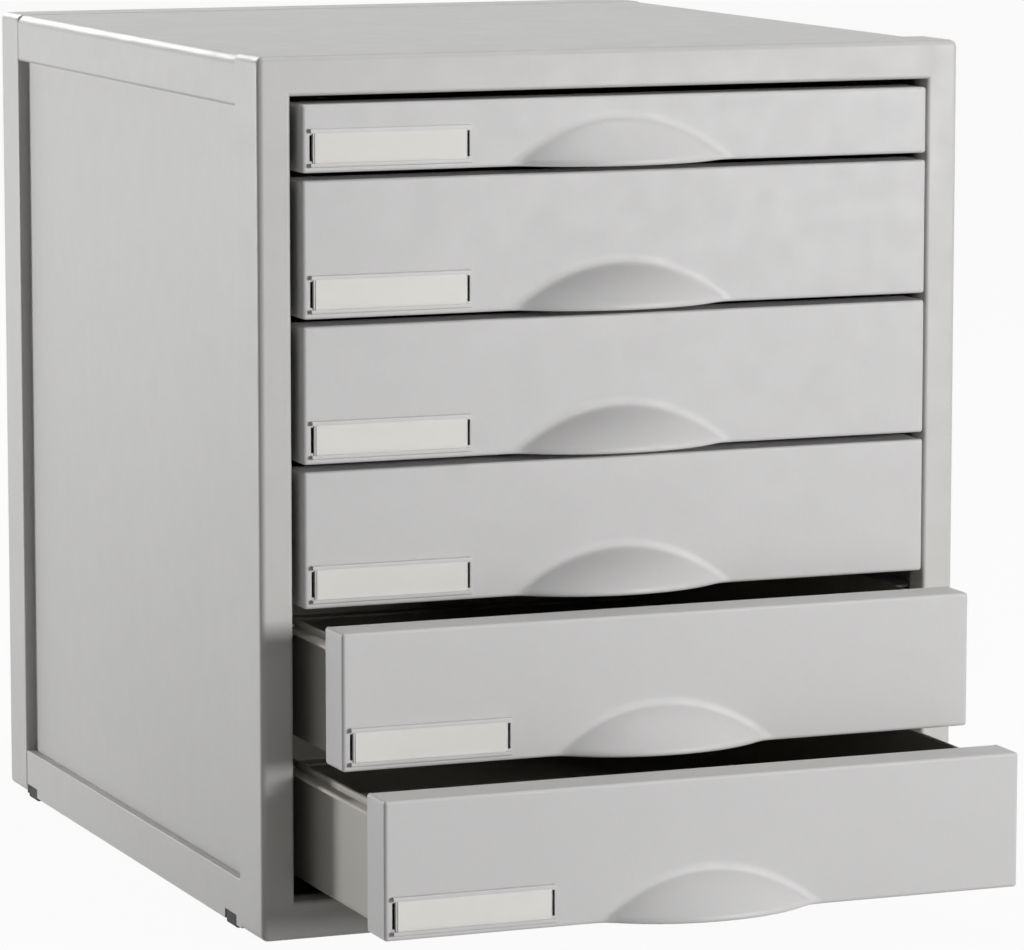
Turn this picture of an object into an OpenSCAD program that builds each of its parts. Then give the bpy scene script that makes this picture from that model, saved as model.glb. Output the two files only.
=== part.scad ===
// Desktop cabinet of folded sheet steel with six drawers: one shallow above five deep ones.
// Millimetres, +Z up. The origin is the centre of the cabinet's base, level with the feet's soles.
// The drawers pull out along -Y. Two of them stand partly open in the drawn position.

/* [Cabinet] */
// Width of the cabinet across its front frame
body_w = 300; // [260:1:400]
// Depth of the cabinet, frame to frame
body_d = 350; // [300:1:450]
// How far the feet stand out below the sheet metal
foot_standout = 1.5; // [0.5:0.5:4]
// Sheet thickness of the frames, cover, rails and drawer fronts
sheet = 1.0; // [0.8:0.1:1.2]
// Sheet thickness of the side panels, back panel and trays
thin_sheet = 0.8; // [0.6:0.1:1]
// How far the side panels and the floor lie behind the frames' outer faces
panel_recess = 5; // [4:0.5:7]
// Lap of the panels behind the frames' lips
panel_lap = 10; // [6:1:14]

/* [Front frame] */
// Width of each upright stile
stile_w = 13.5; // [11:0.5:16]
// Height of the rail above the drawers
top_rail_h = 15.5; // [13:0.5:22]
// Height of the rail below the drawers
bottom_rail_h = 15.5; // [13:0.5:22]
// Depth of the front frame's side flanges
front_frame_d = 28; // [20:1:30]
// Depth of the return around the drawer opening
opening_return = 12; // [8:1:13]
// Radius of the frames' outer corners
frame_corner_r = 3; // [1.5:0.5:4]
// Radius of the bend between a frame's face and its flanges
frame_bend_r = 2.5; // [1.5:0.5:4]

/* [Rear frame] */
// Depth of the rear frame
rear_frame_d = 26; // [14:1:30]
// How far the rear frame stands in from the front frame's outline
rear_inset = 0.8; // [0.6:0.2:1.6]
// Width of the ring that carries the back panel
rear_ring_w = 14; // [12:1:20]

/* [Top cover and base] */
// How far the cover's skirts and the base rails stand in from the rear frame
skirt_inset = 0.2; // [0:0.1:0.8]
// How far the cover's top lies below the rear frame's top
cover_drop = 0.2; // [0:0.1:2]
// Height of the cover's skirts
skirt_h = 20; // [15:1:24]
// Radius of the cover's long edges
cover_edge_r = 4; // [3:0.5:6]
// Height of the base rails
base_rail_h = 19.5; // [15:0.5:24]
// Width of the base rail's shelf under the floor
base_shelf_w = 15; // [14:1:20]

/* [Back panel] */
// Height of the pressed ribs
rib_h = 3; // [2:0.5:5]
// Width of the pressed ribs at their foot
rib_w = 16; // [12:1:24]
// Distance of each rib from the middle of the back
rib_offset = 70; // [50:5:90]
// Distance of the ribs' ends from the cabinet's side faces
rib_end_gap = 40; // [30:5:60]

/* [Feet] */
// Diameter of a foot's pad and width of its nose
foot_d = 13; // [10:0.5:13]
// Gap between a foot's head and the side panel's inner face
foot_side_gap = 0.8; // [0.5:0.1:1]
// Distance of the front feet from the front frame
front_foot_gap = 7.5; // [1:0.5:20]
// Distance of the rear feet from the rear frame
rear_foot_gap = 1; // [1:0.5:20]
// How far a foot's nose lies behind the base rail's outer face
foot_nose_inset = 0.3; // [0:0.1:1]
// Diameter of a foot's stem
foot_stem_d = 5; // [4:0.5:6]
// Diameter of the head that holds a foot's stem
foot_head_d = 7.5; // [7:0.5:9]
// Height of that head
foot_head_h = 2; // [1.5:0.5:3]
// Width of the notch that a foot's nose fills
notch_w = 14; // [14:0.5:20]

/* [Drawers] */
// Height of the top drawer's front
shallow_front_h = 26.5; // [26:0.5:45]
// Height of each of the other fronts
deep_front_h = 54.1; // [46:0.1:70]
// Gap between two fronts
drawer_gap = 2.8; // [2.2:0.1:4]
// Gap between the top front and the rail above it
top_gap = 3; // [2:0.5:5]
// Gap between the lowest front and the rail below it
bottom_gap = 3.5; // [2:0.5:6]
// Gap between a front's side and the stile
side_gap = 2.9; // [2.2:0.1:4]
// How far a closed front stands out from the frame
front_proud = 5; // [4:0.5:8]
// Depth of a front's folded edges
front_d = 20; // [18:1:24]
// Radius of a front's upright edges
front_edge_r = 1.5; // [1.5:0.5:4]
// Width of the flanges at the back of a front's sides
front_side_flange = 16; // [15:1:18]
// Height of the flanges at the back of a front's top and bottom
front_top_flange = 8; // [7:0.5:9]
// Full travel of a drawer
drawer_travel = 250; // [200:5:255]
// How far the fifth drawer stands open
open_5 = 43; // [0:1:90]
// How far the sixth drawer stands open
open_6 = 89; // [0:1:120]

/* [Trays] */
// Gap between a front's outer side and its tray's outer wall
tray_side_gap = 5.6; // [5:0.1:7]
// Height of a tray's floor above its front's lower edge
tray_lift = 1; // [0.8:0.1:2]
// Gap between a closed tray and the back panel
tray_rear_gap = 14; // [12:1:30]
// How far the rim lies below the front's upper edge
rim_drop = 7.8; // [6:0.2:9]
// Width of the rim outside the wall
rim_w = 4.5; // [4:0.1:4.9]
// Height of the rim's turned-down lip
rim_lip_h = 1.8; // [1.5:0.1:2.5]
// Height of the folded edge above the rim
hem_h = 2.7; // [2:0.1:3]
// Height of the ribs pressed up in a tray's floor
tray_rib_h = 1.6; // [1:0.2:3]
// Width of those ribs
tray_rib_w = 10; // [8:1:16]
// Distance of those ribs' ends from the tray's walls
tray_rib_end_gap = 22; // [15:1:40]
// Number of ribs across a tray's floor
tray_rib_count = 3; // [1:1:5]

/* [Runners] */
// Clearance between the rim and the runner, below and above
runner_clear = 0.3; // [0.2:0.1:0.5]
// Clearance between a closed front's back and the runner's end
runner_end_clear = 1.5; // [1:0.5:3]
// Gap between the runner's rear end and the back panel
runner_rear_gap = 8; // [7:1:14]
// Clearance between the runner's edges and the tray's wall
runner_wall_clear = 1.2; // [0.8:0.1:2]
// Length of the stop lug at the back of a tray
lug_length = 9; // [6:1:14]
// Reach of the stop lug beyond the rim
lug_reach = 6; // [5:0.5:7]
// Overlap of the stop lug and the runner's stop tab
stop_overlap = 3; // [2:0.5:3.5]
// Clearance left at the stop at full travel
stop_clear = 0.3; // [0.2:0.1:1]

/* [Finger hoods] */
// Width of a hood at the front's lower edge
hood_w = 95; // [70:1:120]
// Height of a hood on the front
hood_h = 21; // [16:0.5:23]
// How far a hood's lip stands out
hood_out = 15.5; // [12:0.5:24]
// Height of the raised band below a hood's arc
hood_band_h = 3.5; // [2.5:0.5:5]
// How far that band stands out at its lower edge
hood_band_out = 5.5; // [4:0.5:7]
// Sheet thickness of a hood
hood_sheet = 1.2; // [1:0.1:1.5]
// Width of the lip folded in along a hood's lower edge
hood_lip_w = 3; // [2:0.2:4]
// Thickness of that lip
hood_lip_t = 1.4; // [1:0.1:2]
// Width of the finger notch in a front's lower fold
finger_notch_w = 70; // [50:1:80]

/* [Labels] */
// Distance of a label holder from the front's side
label_side_gap = 3; // [3:0.1:10]
// Distance of a label holder from the front's lower edge
label_bottom_gap = 2.2; // [2:0.1:4]
// Width of a label holder
label_w = 66.5; // [60:0.5:80]
// Height of a label holder
label_h = 15; // [13:0.5:17]
// Thickness of a label holder's plate
label_plate = 0.6; // [0.5:0.1:1]
// Width of the slot at each end of a label holder
label_slot_w = 2; // [1.5:0.5:4]
// Width of a label holder's turned-over edges
label_lip_w = 1.6; // [1.2:0.1:2.2]
// Thickness of those edges
label_lip_t = 0.5; // [0.4:0.1:0.8]
// Thickness of a card
card_t = 0.3; // [0.2:0.1:0.5]
// Thickness of a clear window
window_t = 0.5; // [0.3:0.1:0.8]
// Clearance around a card and its window
label_clear = 0.1; // [0.05:0.05:0.2]

/* [Fasteners] */
// Diameter of a rivet's shank
rivet_d = 3.2; // [2.4:0.1:4]
// Diameter of a rivet's domed head
rivet_head_d = 6; // [5:0.5:7]
// Height of that head
rivet_head_h = 1.2; // [0.8:0.1:1.6]
// Diameter of the set head at a rivet's other end
rivet_tail_d = 5; // [4.2:0.2:5.4]
// Height of that set head
rivet_tail_h = 0.9; // [0.6:0.1:1.4]
// Distance of a rivet from the tray's outer wall
rivet_wall_gap = 5; // [4.8:0.2:6]
// Height of the lower rivets above the front's lower edge
rivet_low = 12; // [11:0.5:14]
// Distance of the upper rivets from the front's upper edge
rivet_high = 15; // [13:0.5:18]
// Clearance around a rivet or a screw in its hole
hole_clear = 0.05; // [0.03:0.01:0.1]
// Diameter of a back panel screw
screw_d = 3.8; // [3:0.1:4.5]
// Diameter of its head
screw_head_d = 7; // [6:0.5:9]
// Height of its head
screw_head_h = 2.2; // [1.6:0.1:3]
// Width of the cross cut into its head
screw_cross_w = 0.9; // [0.6:0.1:1.4]
// Length of its shank
screw_length = 8; // [6:0.5:12]
// Distance of the screws from the frame's outer faces
screw_edge_gap = 8; // [7:0.5:9]
// Distance of the upper and lower screws from the frame's corners
screw_corner_gap = 30; // [20:1:60]

/* [Hidden] */

drawer_count = 6;
smooth = 96;
small = 32;
cut = 1;
overcut = 0.01;

// Rows of drawers, counted from the top
deep_pitch = deep_front_h + drawer_gap;
opening_bottom = foot_standout + bottom_rail_h;
opening_h = bottom_gap + (drawer_count - 1) * deep_pitch + shallow_front_h + top_gap;
opening_w = body_w - 2 * stile_w;
top_z = opening_bottom + opening_h + top_rail_h;
function front_height(n) = n == 1 ? shallow_front_h : deep_front_h;
function front_bottom(n) = opening_bottom + bottom_gap + (drawer_count - n) * deep_pitch;
function drawer_opening(n) = n == 5 ? open_5 : n == 6 ? open_6 : 0;

// Cabinet planes
front_y = -body_d / 2;
rear_y = body_d / 2;
front_lip_y = front_y + front_frame_d;
rear_lip_y = rear_y - rear_frame_d;
recess_x = body_w / 2 - panel_recess;
recess_bottom = foot_standout + panel_recess;
recess_top = top_z - panel_recess;
panel_inner_x = recess_x - thin_sheet;
rear_top_z = top_z - rear_inset;
skirt_x = body_w / 2 - rear_inset - skirt_inset;
cover_top = rear_top_z - cover_drop;
floor_top = recess_bottom + sheet;
panel_top_gap = 0.3;
back_panel_y = rear_y - sheet - thin_sheet;
back_panel_gap = 0.3;

// Drawer planes, measured from a front's own face
front_w = opening_w - 2 * side_gap;
face_y = front_y - front_proud;
tray_w = front_w - 2 * tray_side_gap;
tray_length = back_panel_y - tray_rear_gap - face_y - front_d;
function rim_top(h) = h - rim_drop;
function hem_top(h) = rim_top(h) + hem_h;
rim_x = tray_w / 2 + rim_w;
lug_x = rim_x + lug_reach;

// Runner planes
runner_front = face_y + front_d + runner_end_clear;
runner_rear = back_panel_y - runner_rear_gap;
stop_y = back_panel_y - tray_rear_gap - lug_length - drawer_travel - stop_clear;

// Hood: where its band and its lower part would reach, carried on to the lower edge and the face
band_reach = hood_band_out * hood_h / hood_band_h;
hood_reach_h = (hood_h - hood_band_h) * hood_out / (hood_out - hood_band_out);

foot_x = panel_inner_x - foot_side_gap - foot_head_d / 2;
front_foot_y = front_lip_y + front_foot_gap + foot_d / 2;
rear_foot_y = rear_lip_y - rear_foot_gap - foot_d / 2;
foot_pad_top = recess_bottom - sheet;
rail_top = foot_standout + base_rail_h;

label_left = -front_w / 2 + label_side_gap;
label_stack = card_t + window_t + label_clear;

// Extrudes a drawing of X and Z from y0 to y1
module along_y(y0, y1) {
    translate([0, y1, 0])
        rotate([90, 0, 0])
            linear_extrude(y1 - y0)
                children();
}

// Extrudes a drawing of Y and Z from x0 to x1
module along_x(x0, x1) {
    translate([x0, 0, 0])
        rotate([90, 0, 90])
            linear_extrude(x1 - x0)
                children();
}

// Rectangle about x = 0 that stands from z0 to z1
module pane(w, z0, z1) {
    translate([-w / 2, z0])
        square([w, z1 - z0]);
}

// The same with round corners
module round_pane(w, z0, z1, r) {
    pane(w - 2 * r, z0, z1);
    pane(w, z0 + r, z1 - r);
    for (side = [-1, 1], z = [z0 + r, z1 - r])
        translate([side * (w / 2 - r), z])
            circle(r, $fn = small);
}

module place_drawer(n) {
    translate([0, face_y - drawer_opening(n), front_bottom(n)])
        children();
}

// Plan of a folded pan, w wide and d deep, with round edges beside its face at y = 0
module pan_plan(w, d, r) {
    translate([-w / 2 + r, 0])
        square([w - 2 * r, d]);
    translate([-w / 2, r])
        square([w, d - r]);
    for (side = [-1, 1])
        translate([side * (w / 2 - r), r])
            circle(r, $fn = small);
}

// Frame folded from sheet: the outside of a pan with a face at y = 0 and a lip at y = d,
// reduced by an inset on all sides
module frame_block(w, low, high, d, inset) {
    h = high - low - 2 * inset;
    translate([0, inset, 0])
        intersection() {
            along_y(0, d - 2 * inset)
                round_pane(w - 2 * inset, low + inset, high - inset, frame_corner_r - inset);
            translate([0, 0, low + inset])
                linear_extrude(h)
                    pan_plan(w - 2 * inset, d - 2 * inset, frame_bend_r - inset);
            along_x(-w / 2 + inset, w / 2 - inset)
                translate([0, low + inset + h / 2])
                    mirror([1, 0])
                        rotate(90)
                            pan_plan(h, d - 2 * inset, frame_bend_r - inset);
        }
}

module folded_frame(w, low, high, d) {
    difference() {
        frame_block(w, low, high, d, 0);
        frame_block(w, low, high, d, sheet);
        along_y(d - sheet - cut, d + cut)
            pane(2 * recess_x, recess_bottom, recess_top);
    }
}

module front_frame() {
    color([0.74, 0.74, 0.73])
        difference() {
            union() {
                translate([0, front_y, 0])
                    folded_frame(body_w, foot_standout, top_z, front_frame_d);
                along_y(front_y, front_y + opening_return)
                    pane(
                        opening_w + 2 * sheet, opening_bottom - sheet, opening_bottom + opening_h + sheet
                    );
            }
            along_y(front_y - cut, front_y + opening_return + cut)
                pane(opening_w, opening_bottom, opening_bottom + opening_h);
        }
}

module screw_places() {
    side_x = body_w / 2 - screw_edge_gap;
    for (side = [-1, 1], z = [foot_standout + screw_corner_gap, top_z / 2, top_z - screw_corner_gap])
        translate([side * side_x, 0, z])
            children();
    for (z = [foot_standout + screw_edge_gap, top_z - screw_edge_gap])
        translate([0, 0, z])
            children();
}

module rear_frame() {
    w = body_w - 2 * rear_inset;
    ring_low = foot_standout + rear_ring_w;
    color([0.72, 0.72, 0.71])
        difference() {
            translate([0, rear_y, 0])
                mirror([0, 1, 0])
                    folded_frame(w, foot_standout, rear_top_z, rear_frame_d);
            along_y(rear_y - sheet - cut, rear_y + cut)
                round_pane(w - 2 * rear_ring_w, ring_low, rear_top_z - rear_ring_w, frame_corner_r);
            translate([0, rear_y, 0])
                screw_places()
                    rotate([90, 0, 0])
                        cylinder(d = screw_d + 2 * hole_clear, h = 2 * sheet + cut, center = true, $fn = small);
        }
}

module top_cover() {
    low = cover_top - skirt_h;
    color([0.76, 0.75, 0.76])
        along_y(front_lip_y, rear_lip_y)
            difference() {
                round_pane(2 * skirt_x, low - 2 * cover_edge_r, cover_top, cover_edge_r);
                difference() {
                    round_pane(
                        2 * (skirt_x - sheet), low + sheet - 2 * cover_edge_r, cover_top - sheet,
                        cover_edge_r - sheet
                    );
                    pane(2 * skirt_x, low - cut, low + sheet);
                }
                pane(2 * recess_x, low - 3 * cover_edge_r, low + 2 * sheet);
                pane(body_w, low - 3 * cover_edge_r, low);
            }
}

module base_panel() {
    color([0.68, 0.68, 0.67])
        difference() {
            translate([-recess_x, front_lip_y - panel_lap, recess_bottom])
                cube([2 * recess_x, rear_lip_y - front_lip_y + 2 * panel_lap, sheet]);
            foot_places()
                translate([0, 0, recess_bottom - cut])
                    cylinder(d = foot_stem_d + 2 * hole_clear, h = sheet + 2 * cut, $fn = small);
        }
}

// Left rail: outer wall, a lip against the side panel and a shelf under the floor
module left_base_rail() {
    color([0.70, 0.70, 0.69])
        difference() {
            union() {
                translate([-skirt_x, front_lip_y, foot_standout])
                    cube([sheet, rear_lip_y - front_lip_y, base_rail_h]);
                translate([-skirt_x, front_lip_y, rail_top - sheet])
                    cube([skirt_x - recess_x, rear_lip_y - front_lip_y, sheet]);
                translate([-skirt_x, front_lip_y, recess_bottom - sheet])
                    cube([base_shelf_w, rear_lip_y - front_lip_y, sheet]);
            }
            foot_places() {
                cylinder(d = foot_stem_d + 2 * hole_clear, h = floor_top, $fn = small);
                translate([foot_x - skirt_x - cut, -notch_w / 2, 0])
                    cube([sheet + cut + overcut, notch_w, foot_pad_top]);
            }
        }
}

module right_base_rail() {
    mirror([1, 0, 0])
        left_base_rail();
}

module left_side_panel() {
    color([0.72, 0.72, 0.70])
        translate([-recess_x, front_lip_y - panel_lap, floor_top])
            cube([
                thin_sheet, rear_lip_y - front_lip_y + 2 * panel_lap,
                recess_top - panel_top_gap - floor_top
            ]);
}

module right_side_panel() {
    mirror([1, 0, 0])
        left_side_panel();
}

// Hat-shaped section of a pressed rib that rises along +X of the drawing
module rib_section(width, height, t) {
    slope = height;
    polygon([
        [0, -width / 2], [height, -width / 2 + slope], [height, width / 2 - slope], [0, width / 2],
        [-t, width / 2], [-t, width / 2 - t], [height - t, width / 2 - slope - t / 2],
        [height - t, -width / 2 + slope + t / 2], [-t, -width / 2 + t], [-t, -width / 2]
    ]);
}

module back_panel() {
    half_w = body_w / 2 - rear_inset - frame_bend_r - back_panel_gap;
    low = foot_standout + frame_bend_r + back_panel_gap;
    high = rear_top_z - frame_bend_r - back_panel_gap;
    rib_x = body_w / 2 - rib_end_gap;
    color([0.66, 0.66, 0.65])
        difference() {
            union() {
                difference() {
                    along_y(back_panel_y, back_panel_y + thin_sheet)
                        round_pane(2 * half_w, low, high, frame_corner_r - sheet);
                    for (side = [-1, 1])
                        translate([-rib_x, back_panel_y - cut, top_z / 2 + side * rib_offset - rib_w / 2])
                            cube([2 * rib_x, thin_sheet + 2 * cut, rib_w]);
                }
                for (side = [-1, 1])
                    translate([0, back_panel_y + thin_sheet, top_z / 2 + side * rib_offset])
                        along_x(-rib_x, rib_x)
                            rib_section(rib_w, rib_h, thin_sheet);
                for (side = [-1, 1], end = [-1, 1])
                    translate([
                        end * (rib_x - thin_sheet / 2), back_panel_y,
                        top_z / 2 + side * rib_offset
                    ])
                        along_x(-thin_sheet / 2, thin_sheet / 2)
                            polygon([
                                [0, -rib_w / 2], [thin_sheet, -rib_w / 2],
                                [thin_sheet + rib_h, -rib_w / 2 + rib_h],
                                [thin_sheet + rib_h, rib_w / 2 - rib_h],
                                [thin_sheet, rib_w / 2], [0, rib_w / 2]
                            ]);
            }
            translate([0, back_panel_y, 0])
                screw_places()
                    rotate([90, 0, 0])
                        cylinder(d = screw_d + 2 * hole_clear, h = 4 * sheet, center = true, $fn = small);
        }
}

module foot_places() {
    for (flip = [0, 1], y = [front_foot_y, rear_foot_y])
        mirror([flip, 0, 0])
            translate([-foot_x, y, 0])
                children();
}

// Push-in foot: a round pad with a nose that fills the base rail's notch, a stem and a head
// above the floor
module feet() {
    color([0.07, 0.07, 0.07])
        foot_places() {
            cylinder(d = foot_d, h = foot_pad_top, $fn = smooth);
            translate([foot_x - skirt_x + foot_nose_inset, -foot_d / 2, 0])
                cube([skirt_x - foot_x - foot_nose_inset, foot_d, foot_pad_top]);
            cylinder(d = foot_stem_d, h = floor_top + foot_head_h, $fn = small);
            translate([0, 0, floor_top])
                cylinder(d = foot_head_d, h = foot_head_h, $fn = small);
        }
}

// Half drawing of a domed head, r wide and h high, for rotate_extrude
module dome_half(r, h) {
    ball_r = (r * r + h * h) / (2 * h);
    intersection() {
        translate([0, h - ball_r])
            circle(ball_r, $fn = smooth);
        square([r, h]);
    }
}

module back_screws() {
    color([0.60, 0.60, 0.60])
        translate([0, rear_y, 0])
            screw_places()
                rotate([-90, 0, 0])
                    difference() {
                        rotate_extrude($fn = small) {
                            dome_half(screw_head_d / 2, screw_head_h);
                            translate([0, -screw_length])
                                square([screw_d / 2, screw_length]);
                        }
                        for (turn = [0, 90])
                            rotate([0, 0, turn])
                                translate([-screw_head_d / 3, -screw_cross_w / 2, screw_head_h / 2])
                                    cube([2 * screw_head_d / 3, screw_cross_w, screw_head_h]);
                    }
}

// Channel on the left side panel. The rim of a tray rides on its lower shelf, and the
// upper shelf keeps a pulled drawer from tipping. A folded tab stops the tray's lug.
module left_runner(n) {
    rim_z = front_bottom(n) + rim_top(front_height(n));
    shelf_z = rim_z - rim_lip_h - runner_clear;
    upper_z = rim_z + runner_clear;
    edge_x = tray_w / 2 + thin_sheet + runner_wall_clear;
    color([0.62, 0.63, 0.64]) {
        along_y(runner_front, runner_rear)
            polygon([
                [-panel_inner_x, shelf_z - sheet], [-edge_x, shelf_z - sheet], [-edge_x, shelf_z],
                [-panel_inner_x + sheet, shelf_z], [-panel_inner_x + sheet, upper_z],
                [-edge_x, upper_z], [-edge_x, upper_z + sheet], [-panel_inner_x, upper_z + sheet]
            ]);
        translate([-panel_inner_x + sheet / 2, stop_y - sheet, shelf_z - sheet / 2])
            cube([panel_inner_x - sheet / 2 - lug_x + stop_overlap, sheet, upper_z - shelf_z + sheet]);
    }
}

module right_runner(n) {
    mirror([1, 0, 0])
        left_runner(n);
}

// Plan of a front, reduced by an inset on all sides
module front_plan(inset) {
    translate([0, inset])
        pan_plan(front_w - 2 * inset, front_d - 2 * inset, front_edge_r - inset);
}

// Round tube, reduced by an inset, that leans back from the reach at the lower edge to the
// height on the face. Its arc on the face is the hood's arc, moved straight up to that height.
module hood_tube(reach, height, inset) {
    tilt = atan2(reach, height);
    rise = hood_h * sin(tilt);
    r = (hood_w * hood_w / 4 + rise * rise) / (2 * rise);
    axis = r - height * sin(tilt);
    translate([0, axis * cos(tilt), -axis * sin(tilt)])
        rotate([-tilt, 0, 0])
            cylinder(r = r - inset, h = 4 * r, center = true, $fn = smooth);
}

// What two such tubes share in front of the face, between two heights: one shapes the raised
// band below the arc and the other the sheet down to the lip
module hood_piece(inset, y1, z0, z1) {
    intersection() {
        hood_tube(band_reach, hood_h, inset);
        hood_tube(hood_out, hood_reach_h, inset);
        translate([-hood_w, -2 * hood_out, z0])
            cube([2 * hood_w, y1 + 2 * hood_out, z1 - z0]);
    }
}

module front_shell(h) {
    color([0.80, 0.79, 0.79])
        difference() {
            union() {
                difference() {
                    linear_extrude(h)
                        front_plan(0);
                    translate([0, 0, sheet])
                        linear_extrude(h - 2 * sheet)
                            front_plan(sheet);
                    translate([
                        -front_w / 2 + front_side_flange, front_d - sheet - cut, front_top_flange
                    ])
                        cube([
                            front_w - 2 * front_side_flange, sheet + 2 * cut, h - 2 * front_top_flange
                        ]);
                }
                hood_piece(0, sheet / 2, 0, 2 * hood_h);
            }
            hood_piece(hood_sheet, sheet + overcut, hood_lip_t, 2 * hood_h);
            hood_piece(hood_lip_w, sheet + overcut, -cut, hood_lip_t + overcut);
            translate([-finger_notch_w / 2, sheet / 2, -cut])
                cube([finger_notch_w, front_d - 4 * sheet, sheet + cut + overcut]);
            for (x = [label_left, label_left + label_w - label_slot_w])
                translate([x, -cut, label_bottom_gap + label_lip_w])
                    cube([label_slot_w, sheet + 2 * cut, label_h - 2 * label_lip_w]);
            rivet_places(h)
                translate([0, front_d, 0])
                    rotate([90, 0, 0])
                        cylinder(d = rivet_d + 2 * hole_clear, h = 4 * sheet, center = true, $fn = small);
        }
}

module rivet_places(h) {
    rows = h > rivet_low + rivet_high + rivet_head_d ? [rivet_low, h - rivet_high] : [rivet_low];
    for (side = [-1, 1], z = rows)
        translate([side * (tray_w / 2 - rivet_wall_gap), 0, z])
            children();
}

// Half section of a tray: floor, wall, folded hem, rim and the rim's lip
module tray_side_section(h) {
    wall_x = tray_w / 2;
    t = thin_sheet;
    polygon([
        [0, tray_lift], [wall_x, tray_lift], [wall_x, rim_top(h) - t],
        [rim_x - t, rim_top(h) - t], [rim_x - t, rim_top(h) - rim_lip_h], [rim_x, rim_top(h) - rim_lip_h],
        [rim_x, rim_top(h)], [wall_x + t, rim_top(h)], [wall_x + t, hem_top(h)],
        [wall_x - t, hem_top(h)], [wall_x - t, tray_lift + t], [0, tray_lift + t]
    ]);
}

module tray_ribs(height, inset) {
    step = tray_length / (tray_rib_count + 1);
    reach = tray_w / 2 - tray_rib_end_gap - inset;
    crest = tray_rib_w / 2 - height - inset / 2;
    for (i = [1 : tray_rib_count])
        translate([0, i * step, tray_lift])
            along_x(-reach, reach)
                polygon([
                    [-tray_rib_w / 2 + inset, -inset], [tray_rib_w / 2 - inset, -inset],
                    [crest, height], [-crest, height]
                ]);
}

module tray_body(h) {
    t = thin_sheet;
    color([0.65, 0.63, 0.60])
        translate([0, front_d, 0])
            difference() {
                union() {
                    along_y(0, tray_length) {
                        tray_side_section(h);
                        mirror([1, 0])
                            tray_side_section(h);
                    }
                    for (y = [0, tray_length - t])
                        translate([-tray_w / 2, y, tray_lift])
                            cube([tray_w, t, hem_top(h) - tray_lift]);
                    for (side = [-1, 1])
                        translate([
                            side * (rim_x + lug_reach / 2 - t / 2) - (lug_reach + t) / 2,
                            tray_length - lug_length, rim_top(h) - t
                        ])
                            cube([lug_reach + t, lug_length, t]);
                    tray_ribs(tray_rib_h + t, 0);
                }
                tray_ribs(tray_rib_h, t);
                rivet_places(h)
                    rotate([90, 0, 0])
                        cylinder(d = rivet_d + 2 * hole_clear, h = 4 * t, center = true, $fn = small);
            }
}

// Rivets with the domed head inside the tray and the set head inside the front
module tray_rivets(h) {
    grip = sheet + thin_sheet;
    color([0.70, 0.70, 0.70])
        rivet_places(h)
            translate([0, front_d + thin_sheet, 0])
                rotate([-90, 0, 0])
                    rotate_extrude($fn = small) {
                        dome_half(rivet_head_d / 2, rivet_head_h);
                        translate([0, -grip])
                            square([rivet_d / 2, grip]);
                        translate([0, -grip - rivet_tail_h])
                            square([rivet_tail_d / 2, rivet_tail_h]);
                    }
}

// Plate with turned-over upper and lower edges and an open slot at each end
module label_holder() {
    color([0.78, 0.78, 0.78])
        translate([label_left, 0, label_bottom_gap])
            difference() {
                union() {
                    translate([0, -label_plate, 0])
                        cube([label_w, label_plate, label_h]);
                    for (z = [0, label_h - label_lip_t])
                        translate([0, -label_plate - label_stack - label_lip_t, z])
                            cube([label_w, label_plate + label_stack + label_lip_t, label_lip_t]);
                    for (z = [0, label_h - label_lip_w])
                        translate([0, -label_plate - label_stack - label_lip_t, z])
                            cube([label_w, label_lip_t, label_lip_w]);
                }
                for (x = [0, label_w - label_slot_w])
                    translate([x, -label_plate - cut, label_lip_w])
                        cube([label_slot_w, label_plate + 2 * cut, label_h - 2 * label_lip_w]);
            }
}

module label_sheet(y, t) {
    translate([
        label_left + label_slot_w, y, label_bottom_gap + label_lip_t + label_clear
    ])
        cube([label_w - 2 * label_slot_w, t, label_h - 2 * label_lip_t - 2 * label_clear]);
}

module label_card() {
    color([0.94, 0.93, 0.90])
        label_sheet(-label_plate - card_t, card_t);
}

module label_window() {
    color([0.85, 0.88, 0.90, 0.4])
        label_sheet(-label_plate - card_t - window_t, window_t);
}

front_frame();
rear_frame();
top_cover();
base_panel();
left_base_rail();
right_base_rail();
left_side_panel();
right_side_panel();
back_panel();
feet();
back_screws();
left_runner(1);  // left_runner_1
left_runner(2);  // left_runner_2
left_runner(3);  // left_runner_3
left_runner(4);  // left_runner_4
left_runner(5);  // left_runner_5
left_runner(6);  // left_runner_6
right_runner(1);  // right_runner_1
right_runner(2);  // right_runner_2
right_runner(3);  // right_runner_3
right_runner(4);  // right_runner_4
right_runner(5);  // right_runner_5
right_runner(6);  // right_runner_6
place_drawer(1) front_shell(front_height(1));  // front_1
place_drawer(2) front_shell(front_height(2));  // front_2
place_drawer(3) front_shell(front_height(3));  // front_3
place_drawer(4) front_shell(front_height(4));  // front_4
place_drawer(5) front_shell(front_height(5));  // front_5
place_drawer(6) front_shell(front_height(6));  // front_6
place_drawer(1) tray_body(front_height(1));  // tray_1
place_drawer(2) tray_body(front_height(2));  // tray_2
place_drawer(3) tray_body(front_height(3));  // tray_3
place_drawer(4) tray_body(front_height(4));  // tray_4
place_drawer(5) tray_body(front_height(5));  // tray_5
place_drawer(6) tray_body(front_height(6));  // tray_6
place_drawer(1) tray_rivets(front_height(1));  // tray_rivets_1
place_drawer(2) tray_rivets(front_height(2));  // tray_rivets_2
place_drawer(3) tray_rivets(front_height(3));  // tray_rivets_3
place_drawer(4) tray_rivets(front_height(4));  // tray_rivets_4
place_drawer(5) tray_rivets(front_height(5));  // tray_rivets_5
place_drawer(6) tray_rivets(front_height(6));  // tray_rivets_6
place_drawer(1) label_holder();  // label_holder_1
place_drawer(2) label_holder();  // label_holder_2
place_drawer(3) label_holder();  // label_holder_3
place_drawer(4) label_holder();  // label_holder_4
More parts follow.
